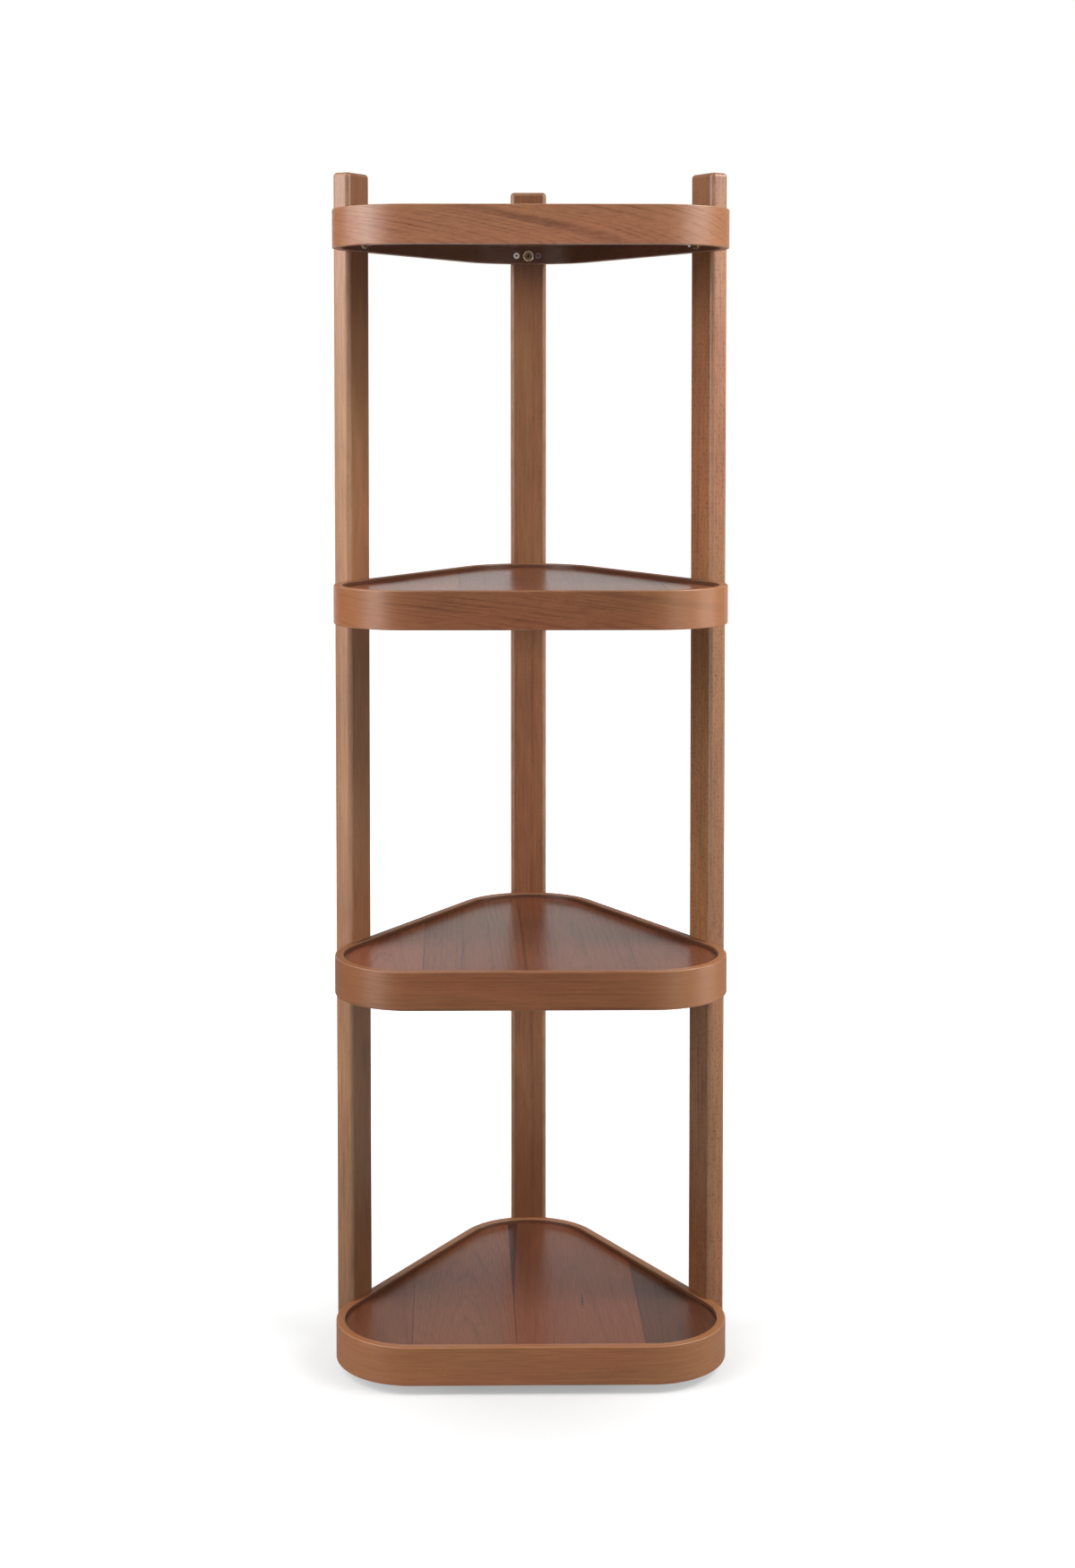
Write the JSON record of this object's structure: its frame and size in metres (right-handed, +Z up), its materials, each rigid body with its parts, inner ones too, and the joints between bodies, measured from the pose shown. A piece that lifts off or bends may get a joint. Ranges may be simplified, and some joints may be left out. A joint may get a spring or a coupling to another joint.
{
  "type": "triangular corner bookcase",
  "caption": "Open corner etagere with rounded triangular trays in bent wooden rims, bolted and screwed into notched flat posts.",
  "frame": {"origin": "on the floor, at the middle of the whole object's plan", "axes": "+Z up along the posts; -Y towards the trays' straight front, +Y towards the back post; +X to the right seen from the front"},
  "size_m": [0.4548, 0.4328, 1.377],
  "materials": {
    "post_wood": "walnut stain under satin lacquer, grain along the post",
    "rim_wood": "walnut stain under satin lacquer, grain round the rim",
    "panel_wood": "walnut stain under semi-gloss lacquer, grain front to back",
    "aged_brass": "antique brass plating, satin",
    "bright_brass": "turned brass",
    "zinc_steel": "bright zinc plating",
    "glide_plastic": "dark brown moulded nylon"
  },
  "bodies": {
    "root": {"post_left": "post_wood", "post_right": "post_wood", "post_back": "post_wood", "glide_left": "glide_plastic", "glide_right": "glide_plastic", "glide_back": "glide_plastic", "rim_bottom": "rim_wood", "stave_bottom_1": "panel_wood", "stave_bottom_2": "panel_wood", "stave_bottom_3": "panel_wood", "stave_bottom_4": "panel_wood", "bolts_bottom": "aged_brass", "inserts_bottom": "bright_brass", "rim_lower": "rim_wood", "stave_lower_1": "panel_wood", "stave_lower_2": "panel_wood", "stave_lower_3": "panel_wood", "stave_lower_4": "panel_wood", "bolts_lower": "aged_brass", "inserts_lower": "bright_brass", "rim_upper": "rim_wood", "stave_upper_1": "panel_wood", "stave_upper_2": "panel_wood", "stave_upper_3": "panel_wood", "stave_upper_4": "panel_wood", "bolts_upper": "aged_brass", "inserts_upper": "bright_brass", "rim_top": "rim_wood", "stave_top_1": "panel_wood", "stave_top_2": "panel_wood", "stave_top_3": "panel_wood", "stave_top_4": "panel_wood", "bolts_top": "aged_brass", "inserts_top": "bright_brass"}
  },
  "joints": []
}
